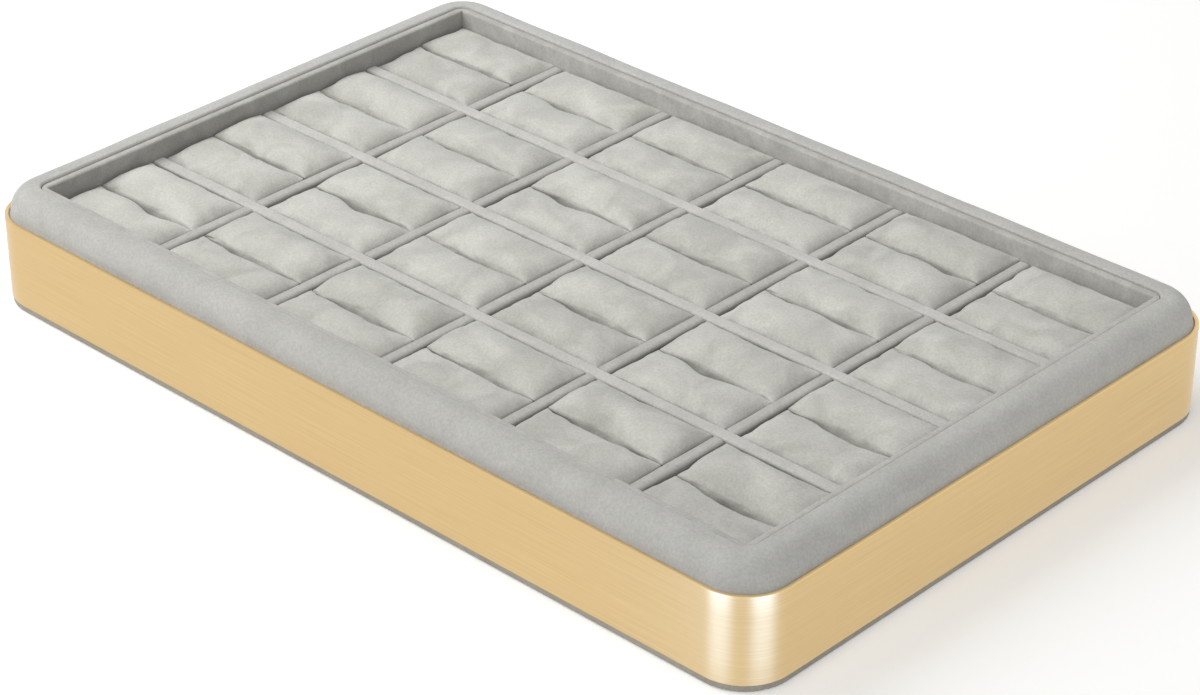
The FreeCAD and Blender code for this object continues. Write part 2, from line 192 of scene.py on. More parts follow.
paper = bpy.data.materials.new("white studio paper")
paper.use_nodes = True
tree = paper.node_tree
tree.nodes.clear()
ray = add(tree, "ShaderNodeLightPath").outputs
mirror_rays = {0: ray["Is Glossy Ray"], 1: ray["Is Transmission Ray"]}
mirrored = add(tree, "ShaderNodeMath", mirror_rays, use_clamp=True)
plain = add(tree, "ShaderNodeBsdfDiffuse", {"Color": linear(FLOOR_COLOUR)})
ground = add(tree, "ShaderNodeTexCoord").outputs["Object"]
distance = add(tree, "ShaderNodeVectorMath", {0: ground}, operation="LENGTH")
level = add(tree, "ShaderNodeMapRange", {
    "Value": distance.outputs["Value"],
    "From Min": FLOOR_LIFT_REACH["near"], "From Max": FLOOR_LIFT_REACH["far"],
    "To Min": FLOOR_LIFT["near"], "To Max": FLOOR_LIFT["far"],
})
lift = add(tree, "ShaderNodeEmission", {"Color": WHITE, "Strength": level.outputs["Result"]})
lifted = add(tree, "ShaderNodeAddShader", {0: plain.outputs[0], 1: lift.outputs[0]})
white = add(tree, "ShaderNodeEmission", {"Color": WHITE, "Strength": 1.0})
even = add(tree, "ShaderNodeMixShader", {0: FLOOR_EVEN_SHARE, 1: plain.outputs[0], 2: white.outputs[0]})
by_ray = {0: ray["Is Camera Ray"], 1: plain.outputs[0], 2: lifted.outputs[0]}
direct = add(tree, "ShaderNodeMixShader", by_ray)
mix = add(tree, "ShaderNodeMixShader", {0: mirrored.outputs[0], 1: direct.outputs[0], 2: even.outputs[0]})
add(tree, "ShaderNodeOutputMaterial", {"Surface": mix.outputs[0]})
floor.data.materials.append(paper)
print("floor side in metres:", 2 * FLOOR_HALF)

# %% [markdown]
# ## Lamps
# One large soft lamp stands high on the left and a little to the front, so the right-hand ends of the
# cushions fall off into shade and the left wall of the well is dark. Small lamps that only reflections can
# see stand close to two opposite corners of the band and draw a pair of soft lines down each of them. A
# line shows where the metal faces half-way between the camera and the lamp. Large lamps further off would
# draw the same lines, but in low views they would whiten much more of the flat metal.

# %% Lamps
KEY_LEVEL = 0.62
KEY_AZIMUTH = math.radians(-68)
KEY_ELEVATION = math.radians(50)
KEY_DISTANCE = 1.1
KEY_SIZE = 0.8
CORNER_RADIUS = 17.5 * MM
LINE_TURNS = {"front_line": math.radians(20), "right_line": math.radians(59)}
LINE_DISTANCE = 0.14
LINE_WIDTH = 0.105
LINE_HEIGHT = 0.1
LINE_WATTS = 0.29
# Bluish, so that a line on the gold comes out nearly white
LINE_COLOUR = "#80A8FF"


def toward(azimuth, elevation):
    """A direction from the tray, with azimuth 0 to the front and growing to the right."""
    level = math.cos(elevation)
    return Vector((math.sin(azimuth) * level, -math.cos(azimuth) * level, math.sin(elevation)))


def add_lamp(name, place, aim, width, height, watts, colour, only_reflections):
    """A rectangular lamp that the camera can't see. It lights surfaces, or else it shows in reflections."""
    lamp = bpy.data.lights.new(name, "AREA")
    lamp.color = linear(colour)[:3]
    lamp.shape = "RECTANGLE"
    lamp.size = width
    lamp.size_y = height
    lamp.energy = watts
    holder = bpy.data.objects.new(name, lamp)
    scene.collection.objects.link(holder)
    holder.location = place
    holder.rotation_euler = (aim - place).to_track_quat("-Z", "Y").to_euler()
    holder.visible_camera = False
    holder.visible_diffuse = not only_reflections
    holder.visible_glossy = only_reflections


# A small lamp of P watts at distance d lights a white surface that faces it to P / (pi * d) ** 2
key_watts = KEY_LEVEL * (math.pi * KEY_DISTANCE) ** 2
key_place = toward(KEY_AZIMUTH, KEY_ELEVATION) * KEY_DISTANCE
add_lamp("key_lamp", key_place, Vector((0, 0, 0)), KEY_SIZE, KEY_SIZE, key_watts, "#FFFFFF", False)
corner_axis = Vector((cad_high.x - CORNER_RADIUS, cad_low.y + CORNER_RADIUS, 0))
line_middle = Vector((0, 0, LINE_HEIGHT / 2))
for name, turn in LINE_TURNS.items():
    metal = corner_axis + toward(turn, 0) * CORNER_RADIUS
    place = metal + toward(2 * turn - CAMERA_AZIMUTH, 0) * LINE_DISTANCE
    for corner, half_turn in {"near": 1, "far": -1}.items():
        add_lamp(
            f"{corner}_{name}_lamp", half_turn * place + line_middle, half_turn * metal + line_middle,
            LINE_WIDTH, LINE_HEIGHT, LINE_WATTS, LINE_COLOUR, True
        )
print("key lamp watts:", round(key_watts, 2))

# %% [markdown]
# ## Finishes
# Microfibre suede is a cloth of very fine polyester whose surface is sanded into a short nap. It has almost
# no gloss, a faint bright edge where the nap is seen side on, and soft lighter and darker marks where a
# hand has turned the nap. A photograph of the cloth could be laid over it, but noise has no seams and no
# size limit: the marks are a slow noise in the colour, and the nap is a fine noise in colour and bump. Each
# piece is cut from another place of the cloth, so its marks and its tone differ a little. The long and the
# cross strips have tones of their own, the cross ones darker. Upright faces, and the front of the rim, get
# a painted shade, which darkens their colour.

# %% Microfibre suede
MARK_STOPS = (0.3, 0.7)
GRAIN_STOPS = (0.25, 0.75)
GRAIN_TONES = ("#E8E8E8", "#FFFFFF")
CUT_TONE = 0.08
# A face whose normal rises by at least this share counts as lying
LYING_NORMAL = 0.7
NAP_DEPTH = 0.12 * MM
NAP_BUMP = 0.5


def new_suede(name, dark, light, mark_mm, grain_mm=0.8, upright_shade=1.0, front=1.0):
    """Sanded microfibre: nap marks in two tones and a fine grain, coarser than the fibres so that it shows.

    Upright faces get a painted shade, darker by their own factor, and the front part of the tray gets a
    painted shade, darker towards the front by the factor front.
    """
    material, tree, shader = new_material(
        name, Roughness=0.95, Specular_IOR_Level=0.12, Sheen_Weight=0.25, Sheen_Roughness=0.45
    )
    cut = add(tree, "ShaderNodeObjectInfo").outputs["Random"]
    place = add(tree, "ShaderNodeTexCoord").outputs["Object"]
    spot = add(tree, "ShaderNodeVectorMath", {0: place, 1: cut}).outputs[0]
    marks = add(tree, "ShaderNodeTexNoise", {
        "Vector": spot, "Scale": 1 / (mark_mm * MM), "Detail": 3.0, "Distortion": 0.8
    })
    lot = add(tree, "ShaderNodeMapRange", {"Value": cut, "To Min": -CUT_TONE, "To Max": CUT_TONE})
    tone = add(tree, "ShaderNodeMath", {0: marks.outputs["Fac"], 1: lot.outputs["Result"]})
    tones = add(tree, "ShaderNodeValToRGB", {"Fac": tone.outputs[0]})
    set_stops(tones, MARK_STOPS, (dark, light))
    grain = add(tree, "ShaderNodeTexNoise", {"Vector": spot, "Scale": 1 / (grain_mm * MM), "Detail": 3.0})
    speckle = add(tree, "ShaderNodeValToRGB", {"Fac": grain.outputs["Fac"]})
    set_stops(speckle, GRAIN_STOPS, GRAIN_TONES)
    # A colour mix has its two colours on inputs 6 and 7, and its result on output 2
    colour = add(
        tree, "ShaderNodeMix", {0: 1.0, 6: tones.outputs["Color"], 7: speckle.outputs["Color"]},
        data_type="RGBA", blend_type="MULTIPLY"
    )
    facing = add(tree, "ShaderNodeSeparateXYZ", {0: add(tree, "ShaderNodeNewGeometry").outputs["Normal"]})
    # Painted shade: faces that stand upright are darkened, down to the given factor
    upright = add(tree, "ShaderNodeMapRange", {
        "Value": facing.outputs["Z"], "From Max": LYING_NORMAL, "To Min": upright_shade
    })
    # Painted shade: darker towards the front of the tray, by the factor front
    depth = add(tree, "ShaderNodeSeparateXYZ", {0: place})
    brushed = add(tree, "ShaderNodeMapRange", {
        "Value": depth.outputs["Y"], "From Min": cad_low.y, "From Max": 0.0, "To Min": front
    })
    painted_shade_factors = {0: upright.outputs["Result"], 1: brushed.outputs["Result"]}
    level = add(tree, "ShaderNodeMath", painted_shade_factors, operation="MULTIPLY")
    shaded = add(
        tree, "ShaderNodeVectorMath", {0: colour.outputs[2], "Scale": level.outputs[0]}, operation="SCALE"
    )
    tree.links.new(shaded.outputs[0], shader.inputs["Base Color"])
    nap = add(tree, "ShaderNodeBump", {
        "Height": grain.outputs["Fac"], "Strength": NAP_BUMP, "Distance": NAP_DEPTH
    })
    tree.links.new(nap.outputs["Normal"], shader.inputs["Normal"])
    return material


# Painted shade: the rim is darker towards the front of the tray, by the factor front
rim_suede = new_suede("rim microfibre suede", "#C4C3BE", "#CDCCC7", mark_mm=14, grain_mm=0.9, front=0.92)
# Painted shade: the upright faces of cushions and strips are darkened to half, for the shade in slits and
# gaps
cushion_suede = new_suede("cushion microfibre suede", "#C2C1BA", "#D9D8D1", mark_mm=15, upright_shade=0.5)
long_strip_suede = new_suede("long strip microfibre suede", "#CBCAC5", "#D7D6D1", mark_mm=10, upright_shade=0.5)
cross_strip_suede = new_suede("cross strip microfibre suede", "#BEBDB8", "#CAC9C4", mark_mm=10, upright_shade=0.5)
long_liner_suede = new_suede("long liner microfibre suede", "#BAB9B4", "#CDCCC7", mark_mm=9)
# Painted shade: the end liners are darker on their upright faces than the long ones
shaded_end_liner_suede = new_suede("end liner microfibre suede", "#BAB9B4", "#CDCCC7", mark_mm=9, upright_shade=0.66)
base_suede = new_suede("base microfibre suede", "#A8A296", "#B5AFA3", mark_mm=16, grain_mm=0.9)
print("suedes:", [material.name for material in bpy.data.materials if "suede" in material.name])

# %% [markdown]
# The band is aluminium sheet, brushed along its length and anodised gold under a clear seal. Brushing
# leaves fine parallel scratches, so a reflection is drawn out across them, up and down the band, and stays
# narrow along it. That is anisotropy, turned a quarter so that it follows the height. The scratches
# themselves are a noise stretched along the band's own UV map, and the seal is a thin clear coat that
# whitens the brightest lines. Cutting them into the mesh would take millions of faces and look the same.

# %% Brushed gold aluminium
SCRATCH_LENGTH = 45.0 * MM
SCRATCH_WIDTH = 0.45 * MM
SCRATCH_DEPTH = 0.05 * MM
SCRATCH_BUMP = 0.25
GOLD_STOPS = (0.25, 0.75)
GOLD_TONES = ("#E2C087", "#EFD397")
GOLD_ROUGHNESS = {"least": 0.41, "most": 0.51}


def show_pattern(tree, shader, pattern, stops, tones, bump, depth):
    """Lets a pattern show in a surface's colour and, as if it stood out a little, in its shading."""
    ramp = add(tree, "ShaderNodeValToRGB", {"Fac": pattern})
    set_stops(ramp, stops, tones)
    tree.links.new(ramp.outputs["Color"], shader.inputs["Base Color"])
    relief = add(tree, "ShaderNodeBump", {"Height": pattern, "Strength": bump, "Distance": depth})
    tree.links.new(relief.outputs["Normal"], shader.inputs["Normal"])


def brushed_gold():
    """Brushed, gold anodised aluminium. Real scratches are finer, and these are coarse enough to show."""
    material, tree, shader = new_material(
        "brushed gold anodised aluminium", Metallic=1.0, Anisotropic=0.78, Anisotropic_Rotation=0.25,
        Coat_Weight=0.6, Coat_Roughness=0.15
    )
    flat = add(tree, "ShaderNodeUVMap", uv_map="band")
    scale = (1 / SCRATCH_LENGTH, 1 / SCRATCH_WIDTH, 1.0)
    stretched = add(tree, "ShaderNodeMapping", {"Vector": flat.outputs["UV"], "Scale": scale})
    scratches = add(tree, "ShaderNodeTexNoise", {
        "Vector": stretched.outputs["Vector"], "Scale": 1.0, "Detail": 5.0, "Roughness": 0.65
    }).outputs["Fac"]
    show_pattern(tree, shader, scratches, GOLD_STOPS, GOLD_TONES, SCRATCH_BUMP, SCRATCH_DEPTH)
    rough = add(tree, "ShaderNodeMapRange", {
        "Value": scratches, "To Min": GOLD_ROUGHNESS["least"], "To Max": GOLD_ROUGHNESS["most"]
    })
    tree.links.new(rough.outputs["Result"], shader.inputs["Roughness"])
    across = add(tree, "ShaderNodeTangent", direction_type="UV_MAP", uv_map="band")
    tree.links.new(across.outputs["Tangent"], shader.inputs["Tangent"])
    return material


gold = brushed_gold()
print("metal:", gold.name)

# %% [markdown]
# Three finishes are hidden until the tray comes apart: the medium-density fibreboard of the rails, sawn and
# left bare, the hardboard of the two floors, pressed smooth on one side, and the open-cell foam under the
# rim. A plain colour would nearly do, but a lifted insert shows an edge of board, so they get their grain.

# %% Boards and foam
FIBRE_STOPS = (0.35, 0.65)
FIBRE_DEPTH = 0.1 * MM
FIBRE_BUMP = 0.35
FOAM_STOPS = (0.0, 1.0)
FOAM_TONES = ("#B3AB98", "#E5DFCF")
FOAM_CELL = 1.1 * MM
FOAM_DEPTH = 0.3 * MM
FOAM_BUMP = 0.6
SIDE_FACING = {"front": (0, -1), "right": (1, 0), "back": (0, 1), "left": (-1, 0)}


def pressed_board(name, dark, light, fibre_mm, roughness):
    """Wood fibre pressed with resin: short pale and dark fibres in every direction, and a dull face."""
    material, tree, shader = new_material(name, Roughness=roughness, Specular_IOR_Level=0.25)
    spot = add(tree, "ShaderNodeTexCoord").outputs["Object"]
    fibres = add(tree, "ShaderNodeTexNoise", {
        "Vector": spot, "Scale": 1 / (fibre_mm * MM), "Detail": 6.0, "Distortion": 1.5
    }).outputs["Fac"]
    show_pattern(tree, shader, fibres, FIBRE_STOPS, (dark, light), FIBRE_BUMP, FIBRE_DEPTH)
    return material


def open_cell_foam():
    """Polyurethane foam, cut: a pale surface of open cells about a millimetre across."""
    material, tree, shader = new_material(
        "open-cell polyurethane foam", Roughness=0.9, Specular_IOR_Level=0.2
    )
    spot = add(tree, "ShaderNodeTexCoord").outputs["Object"]
    cells = add(tree, "ShaderNodeTexVoronoi", {"Vector": spot, "Scale": 1 / FOAM_CELL}).outputs["Distance"]
    show_pattern(tree, shader, cells, FOAM_STOPS, FOAM_TONES, FOAM_BUMP, FOAM_DEPTH)
    return material


fibreboard = pressed_board("sawn fibreboard", "#9C7E5A", "#BFA27C", fibre_mm=1.4, roughness=0.8)
hardboard = pressed_board("pressed hardboard", "#6E5A48", "#8C7660", fibre_mm=1.0, roughness=0.6)
foam = open_cell_foam()
finishes = {"base_cover": base_suede, "base_board": hardboard, "insert_floor": hardboard}
finishes.update({f"rail_{side}": fibreboard for side in SIDE_FACING})
for node, finish in finishes.items():
    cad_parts[node].data.materials.clear()
    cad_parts[node].data.materials.append(finish)
print("pieces that keep their shape:", len(finishes))

# %% [markdown]
# ## Sweeping a section round the tray
# The band, the rim and its foam all run round the same rounded rectangle. Each is a closed section, given
# as pairs of inset and height, carried along that outline. A curve with a bevel could do it too, but a mesh
# built in code has even quads, a UV map in real metres and room for small unevenness.

# %% Sweep helpers
OUTLINE_STEP = 2.2 * MM
CORNER_STEPS = 16

half_length, half_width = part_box("gold_band")[1][:2]


def walk_outline(gap=0.0):
    """Points on the tray's outline and their outward normals, once round from the middle of the back."""
    x, y = half_length - CORNER_RADIUS, half_width - CORNER_RADIUS
    backward = np.array([[0.0, 1.0]])
    arcs = []
    for quarter, centre in enumerate([(-x, y), (-x, -y), (x, -y), (x, y)]):
        angles = np.radians(90 * (quarter + 1) + np.linspace(0, 90, CORNER_STEPS + 1))
        facing = np.stack([np.cos(angles), np.sin(angles)], 1)
        arcs.append((np.array(centre) + CORNER_RADIUS * facing, facing))
    arcs.append((np.array([[gap / 2, half_width]]), backward))
    points, normals = [np.array([[-gap / 2, half_width]])], [backward]
    for arc, facing in arcs:
        here = points[-1][-1]
        count = max(2, round(np.linalg.norm(arc[0] - here) / OUTLINE_STEP))
        shares = np.linspace(0, 1, count + 1)[1:-1, None]
        points += [here + shares * (arc[0] - here), arc]
        normals += [np.repeat(facing[:1], count - 1, 0), facing]
    points, normals = np.concatenate(points), np.concatenate(normals)
    return (points, normals) if gap else (points[:-1], normals[:-1])


def arc_points(centre, radii, start, end, steps):
    """Points on an arc in the plane of a section, in degrees, with one radius or one across and one up."""
    across, rise = np.broadcast_to(radii, 2)
    angles = np.radians(np.linspace(start, end, steps + 1))
    return [(centre[0] + across * math.cos(a), centre[1] + rise * math.sin(a)) for a in angles]


def raised(plan, height):
    """A grid of places on the plan, with a height for each column."""
    return np.concatenate([plan, np.broadcast_to(height, plan.shape[:2])[..., None]], 2)


def carry(section, points, facing):
    """A grid of places: one row for each step of the path, one column for each point of the section."""
    inset, height = np.array(section).T
    return raised(points[:, None] - inset[None, :, None] * facing[:, None], height)


def skin(name, grid, ring, material, uv_name=None, sharp_degrees=40):
    """A mesh object over a grid whose columns close on themselves, and whose rows do too if it is a ring."""
    rows, columns = grid.shape[:2]
    index = np.arange(rows * columns).reshape(rows, columns)
    beside = np.roll(index, -1, axis=1)
    quads = np.stack([index, beside, np.roll(beside, -1, axis=0), np.roll(index, -1, axis=0)], 2)
    faces = quads[:rows if ring else rows - 1].reshape(-1, 4).tolist()
    if not ring:
        faces += [index[0].tolist(), index[-1][::-1].tolist()]
    mesh = bpy.data.meshes.new(name)
    mesh.from_pydata(grid.reshape(-1, 3).tolist(), [], faces)
    if uv_name:
        lay_uv(mesh, grid, uv_name)
    return finish_mesh(name, mesh, material, sharp_degrees)


def lay_uv(mesh, grid, uv_name):
    """A UV map in metres for a grid with two ends: along the path, then along the section."""
    rows, columns = grid.shape[:2]
    along = np.concatenate([[0], np.cumsum(np.linalg.norm(np.diff(grid[:, 0], axis=0), axis=1))])
    loop = np.concatenate([grid[0], grid[0, :1]])
    over = np.concatenate([[0], np.cumsum(np.linalg.norm(np.diff(loop, axis=0), axis=1))])
    layer = mesh.uv_layers.new(name=uv_name)
    spot = 0
    for row in range(rows - 1):
        for column in range(columns):
            for step, turn in ((0, 0), (0, 1), (1, 1), (1, 0)):
                layer.data[spot].uv = (along[row + step], over[column + turn])
                spot += 1


def finish_mesh(name, mesh, material, sharp_degrees):
    """Puts a mesh in the scene, in one material and shaded smooth up to an angle."""
    mesh.validate()
    mesh.update()
    obj = bpy.data.objects.new(name, mesh)
    scene.collection.objects.link(obj)
    mesh.polygons.foreach_set("use_smooth", [True] * len(mesh.polygons))
    mesh.set_sharp_from_angle(angle=math.radians(sharp_degrees))
    mesh.materials.append(material)
    return obj


def subdivide(obj):
    """Rounds a mesh by one level of subdivision, on screen and in renders."""
    smooth = obj.modifiers.new("smooth", "SUBSURF")
    smooth.levels = 1
    smooth.render_levels = 1


outline_points, outline_facing = walk_outline()
print("outline steps:", len(outline_points))

# %% [markdown]
# ## The brushed gold band
# A strip 1.5 mm thick and 31 mm high is bent round the tray, and its ends meet in a hairline at the middle
# of the back. The sheared edges are eased, and that small round catches a thin bright line along the top.
# The sweep is left open there, so that the hairline is a real gap.

# %% Band
BAND_THICKNESS = 1.5 * MM
BAND_SEAM = 0.3 * MM
BAND_EASE = 0.35 * MM
BAND_EASE_STEPS = 3
BAND_FACE_STEPS = 4

band_low, band_high = (corner.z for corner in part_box("gold_band"))
band_step = (band_high - band_low) / BAND_FACE_STEPS
inner = BAND_THICKNESS - BAND_EASE
section = arc_points((BAND_EASE, band_low + BAND_EASE), BAND_EASE, 270, 180, BAND_EASE_STEPS)
section += [(0.0, band_low + band_step * step) for step in range(1, BAND_FACE_STEPS)]
section += arc_points((BAND_EASE, band_high - BAND_EASE), BAND_EASE, 180, 90, BAND_EASE_STEPS)
section += arc_points((inner, band_high - BAND_EASE), BAND_EASE, 90, 0, BAND_EASE_STEPS)
section += arc_points((inner, band_low + BAND_EASE), BAND_EASE, 0, -90, BAND_EASE_STEPS)
band_points, band_facing = walk_outline(BAND_SEAM)
band = skin("brushed_band", carry(section, band_points, band_facing), False, gold, "band")
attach(band, "tray")
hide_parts("gold_band")
print("band faces:", len(band.data.polygons))

# %% [markdown]
# ## The padded rim
# The rim is suede stretched over foam on top of the rails. It is tucked close behind the band, comes out
# above it in a generous round, runs over a flat crest and turns tightly down into the seam. Stretched cloth
# is never dead straight, so the part between the band and the seam is moved by a fraction of a millimetre.
# Cloth simulation could do that, but a slow noise is enough for so taut a skin.

# %% Rim
RIM_SKIN = 0.8 * MM
RIM_ROUND = 7.5 * MM
RIM_ROUND_STEPS = 10
RIM_EDGE_ROUND = 0.8 * MM
RIM_EDGE_STEPS = 5
RIM_TUCK_GAP = 0.05 * MM
RIM_TUCK_STEP = 0.5 * MM
RIM_TUCKED_POINTS = 3
RIM_INNER_SHARES = (0.75, 0.45, 0.15, 0.0)
SEAM_GAP = 0.15 * MM
RIM_UNEVEN = 0.22 * MM
RIM_UNEVEN_LENGTH = 26 * MM
RIM_SEED = 3.0
NOISE_SEED = 1

rim_low, rim_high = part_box("rim_cover")
crest_inset = half_length - rim_high.x + RIM_ROUND
seam_inset = half_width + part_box("liner_front")[0].y


def rim_path(depth):
    """The rim's section from its outer foot over the crest to its inner foot, a depth below its skin."""
    tucked, inner = BAND_THICKNESS + RIM_TUCK_GAP + depth, seam_inset - SEAM_GAP - depth
    edge = seam_inset - SEAM_GAP - RIM_EDGE_ROUND
    nose = (crest_inset - tucked - RIM_TUCK_STEP, rim_high.z - depth - band_high)
    heights = (rim_low.z, (rim_low.z + band_high) / 2, band_high - RIM_TUCK_STEP / 2)
    path = [(tucked, z) for z in heights]
    path += arc_points((crest_inset, band_high), nose, 180, 90, RIM_ROUND_STEPS)
    path += [((crest_inset + edge) / 2, rim_high.z - depth)]
    path += arc_points((edge, rim_high.z - RIM_EDGE_ROUND), RIM_EDGE_ROUND - depth, 90, 0, RIM_EDGE_STEPS)
    drop = rim_high.z - RIM_EDGE_ROUND - rim_low.z
    return path + [(inner, rim_low.z + drop * share) for share in RIM_INNER_SHARES]


def uneven(grid, columns, height, length, seed):
    """Moves the places in some columns of a grid to and fro by a slow noise."""
    offset = Vector((seed, seed, seed))
    for row in grid:
        for place in row[columns]:
            place += np.array(noise.noise_vector(Vector(place) / length + offset)) * height


# The vector noise starts from the clock unless a seed is set, and every run has to give the same tray
noise.seed_set(NOISE_SEED)
outside, inside = rim_path(0.0), rim_path(RIM_SKIN)
grid = carry(outside + inside[::-1], outline_points, outline_facing)
seam_points = RIM_EDGE_STEPS + 1 + len(RIM_INNER_SHARES)
free = slice(RIM_TUCKED_POINTS + 1, len(outside) - seam_points)
uneven(grid, free, RIM_UNEVEN, RIM_UNEVEN_LENGTH, RIM_SEED)
rim = skin("padded_rim", grid, True, rim_suede, sharp_degrees=60)
subdivide(rim)
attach(rim, "tray")
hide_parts("rim_cover")
print("rim faces:", len(rim.data.polygons))

# %% [markdown]
# ## The foam under the rim
# Four strips of foam lie under the suede and meet in mitres at the corners. They fill the space inside the
# rim's skin, so each takes the rim's own section, a little smaller, and carries it along one side only.

# %% Foam under the rim
FOAM_GAP = 0.05 * MM
# A touch over half a right angle, so that two strips both reach the step on the mitre
MITRE_DEGREES = 45.1

for side, straight in SIDE_FACING.items():
    near = outline_facing @ np.array(straight) > math.cos(math.radians(MITRE_DEGREES))
    start = int(np.flatnonzero(near & ~np.roll(near, 1))[0])
    order = np.roll(np.arange(len(near)), -start)[: int(near.sum())]
    grid = carry(rim_path(RIM_SKIN + FOAM_GAP), outline_points[order], outline_facing[order])
    strip = skin(f"rim_foam_{side}", grid, False, foam)
    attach(strip, "tray")
    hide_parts(f"rim_padding_{side}")
print("foam strips:", len(SIDE_FACING))

# %% [markdown]
# ## The liner
# Inside the rim, behind a dark seam, stand four strips of card wrapped in suede. Their top edges are soft,
# and they meet in sharp upright folds at the corners of the well. Outside, each strip follows the rim's
# round corner, which a plain box would cut into, so it is drawn between an outer and an inner line. The
# upright faces of the two end strips are painted darker, a painted shade.

# %% Liner strips
LINER_ROUND = 0.9 * MM
LINER_SEAM_ROUND = 0.7 * MM
LINER_ROUND_STEPS = 4
LINER_FACE_SHARES = (0.0, 0.35, 0.7)
LINER_STEP = 4.0 * MM
FOLD_GAP = 0.02 * MM
FOLD_STEPS = 5

liner_low, liner_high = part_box("liner_front")
floor_top, liner_top = liner_low.z, liner_high.z
well_inset = half_width + liner_high.y
well_x, well_y = half_length - well_inset, half_width - well_inset


def liner_section():
    """Pairs of share across the strip, from its outer to its inner face, and height."""
    thickness = well_inset - seam_inset
    outer_centre = (LINER_SEAM_ROUND, liner_top - LINER_SEAM_ROUND)
    inner_centre = (thickness - LINER_ROUND, liner_top - LINER_ROUND)
    heights = [floor_top + (liner_top - LINER_ROUND - floor_top) * share for share in LINER_FACE_SHARES]
    upright = [(0.0, z) for z in heights]
    upright += arc_points(outer_centre, LINER_SEAM_ROUND, 180, 90, LINER_ROUND_STEPS)
    upright += arc_points(inner_centre, LINER_ROUND, 90, 0, LINER_ROUND_STEPS)
    upright += [(thickness, z) for z in reversed(heights)]
    return [(across / thickness, z) for across, z in upright]


def liner_strip(side):
    """One strip of the liner, from fold to fold."""
    facing = np.array(SIDE_FACING[side], float)
    along = np.array([-facing[1], facing[0]])
    reach, depth = (half_length, half_width) if facing[0] == 0 else (half_width, half_length)
    bend = reach - CORNER_RADIUS
    radius = CORNER_RADIUS - seam_inset
    turns = np.radians(np.linspace(0, 45, FOLD_STEPS + 1))[1:]
    outer_end = [(bend + radius * math.sin(t), depth - CORNER_RADIUS + radius * math.cos(t)) for t in turns]
    inner_end = [(bend + (CORNER_RADIUS - well_inset) * math.tan(t), depth - well_inset) for t in turns]
    middle = np.linspace(-bend, bend, round(2 * bend / LINER_STEP) + 1)
    lines = []
    for end, inset in ((outer_end, seam_inset), (inner_end, well_inset)):
        start = [(-a, d) for a, d in reversed(end)]
        lines.append(np.array(start + [(a, depth - inset) for a in middle] + end)[:, None])
    share, height = np.array(liner_section()).T
    spots = lines[0] + (lines[1] - lines[0]) * share[:, None]
    ways = spots[..., :1]
    ways -= np.where(abs(ways) > bend, np.copysign(FOLD_GAP, ways), 0.0)
    return raised(spots @ np.array([along, facing]), height)


for side in SIDE_FACING:
    # The end strips carry a painted shade on their upright faces
    suede = long_liner_suede if side in ("front", "back") else shaded_end_liner_suede
    strip = skin(f"liner_strip_{side}", liner_strip(side), False, suede, sharp_degrees=50)
    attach(strip, "insert")
    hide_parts(f"liner_{side}")
print("liner strips:", len(SIDE_FACING))

# %% [markdown]
# ## The dividers
# Eight wrapped strips cross in a grid. They are half-lapped: the long ones are slotted from below and pass
# over the cross ones, which are slotted from above. Boxes cut by boxes would give the same laps with hard
# edges. Here a strip is one closed section that is carried along, and at a slot its foot rises or its top
# falls to half height. One top edge is tight and the other soft, as on a card that is wrapped from one
# side. The cross strips are slimmer on their left, which leaves a dark line beside the cushions there.

# %% Divider strips
ROWS = 4
COLUMNS = 6
STRIP_STEP = 3.0 * MM
SLOT_EASE = 0.8 * MM
SLOT_EASE_SHARES = (0.0, 0.1, 0.35, 0.65, 1.0)
SLOT_EDGE = 0.01 * MM
LAP_CLEARANCE = 0.1 * MM
END_EASE = 0.9 * MM
END_EASE_SHARES = (0.08, 0.3, 0.6, 1.0)
LEAST_STEP = 0.005 * MM
STRIP_UNEVEN = 0.12 * MM
STRIP_UNEVEN_LENGTH = 17 * MM
STRIP_STILL_POINTS = 3
STRIP_SOFT_ROUND = 1.4 * MM
STRIP_TIGHT_ROUND = 0.3 * MM
STRIP_ROUND_STEPS = 5
STRIP_NAP = 0.45 * MM
CROSS_STRIP_RELIEF = 0.5 * MM

strip_low, strip_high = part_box("long_divider_1")
strip_top = strip_high.z + STRIP_NAP
strip_thickness = strip_high.y - strip_low.y
half_slot = strip_thickness / 2 + LAP_CLEARANCE
long_places = [sum(c.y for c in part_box(f"long_divider_{k}")) / 2 for k in range(1, ROWS)]
cross_places = [sum(c.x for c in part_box(f"cross_divider_{k}")) / 2 for k in range(1, COLUMNS)]


def strip_stations(reach, crossings):
    """Places along a strip, close together at its ends and at the edges of its slots."""
    places = list(np.linspace(-reach, reach, round(2 * reach / STRIP_STEP) + 1))
    for end in (-reach, reach):
        places += [end - math.copysign(END_EASE * share, end) for share in END_EASE_SHARES]
    for middle in crossings:
        for edge in (-1, 1):
            places.append(middle + edge * (half_slot - SLOT_EDGE))
            places += [middle + edge * (half_slot + SLOT_EASE * share) for share in SLOT_EASE_SHARES]
    kept = []
    for place in sorted(places):
        if not kept or place - kept[-1] > LEAST_STEP:
            kept.append(place)
    return kept


def strip_section(foot, top, relief):
    """Across and up: a side with a tight edge, the top, and a side with a soft edge."""
    tight, soft, half = STRIP_TIGHT_ROUND, STRIP_SOFT_ROUND, strip_thickness / 2
    near = half - relief
    section = [(near, foot), (near, (foot + top) / 2)]
    section += arc_points((near - tight, top - tight), tight, 0, 90, STRIP_ROUND_STEPS)
    section += [((near - tight) / 2, top), (0.0, top)]
    section += arc_points((soft - half, top - soft), soft, 90, 180, STRIP_ROUND_STEPS)
    return section + [(-half, (foot + top) / 2), (-half, foot)]


def round_off(away, size):
    """How far a quarter round of a given size has fallen, at a distance from its edge."""
    share = min(1.0, max(0.0, 1 - away / size))
    return size * (1 - math.sqrt(1 - share * share))


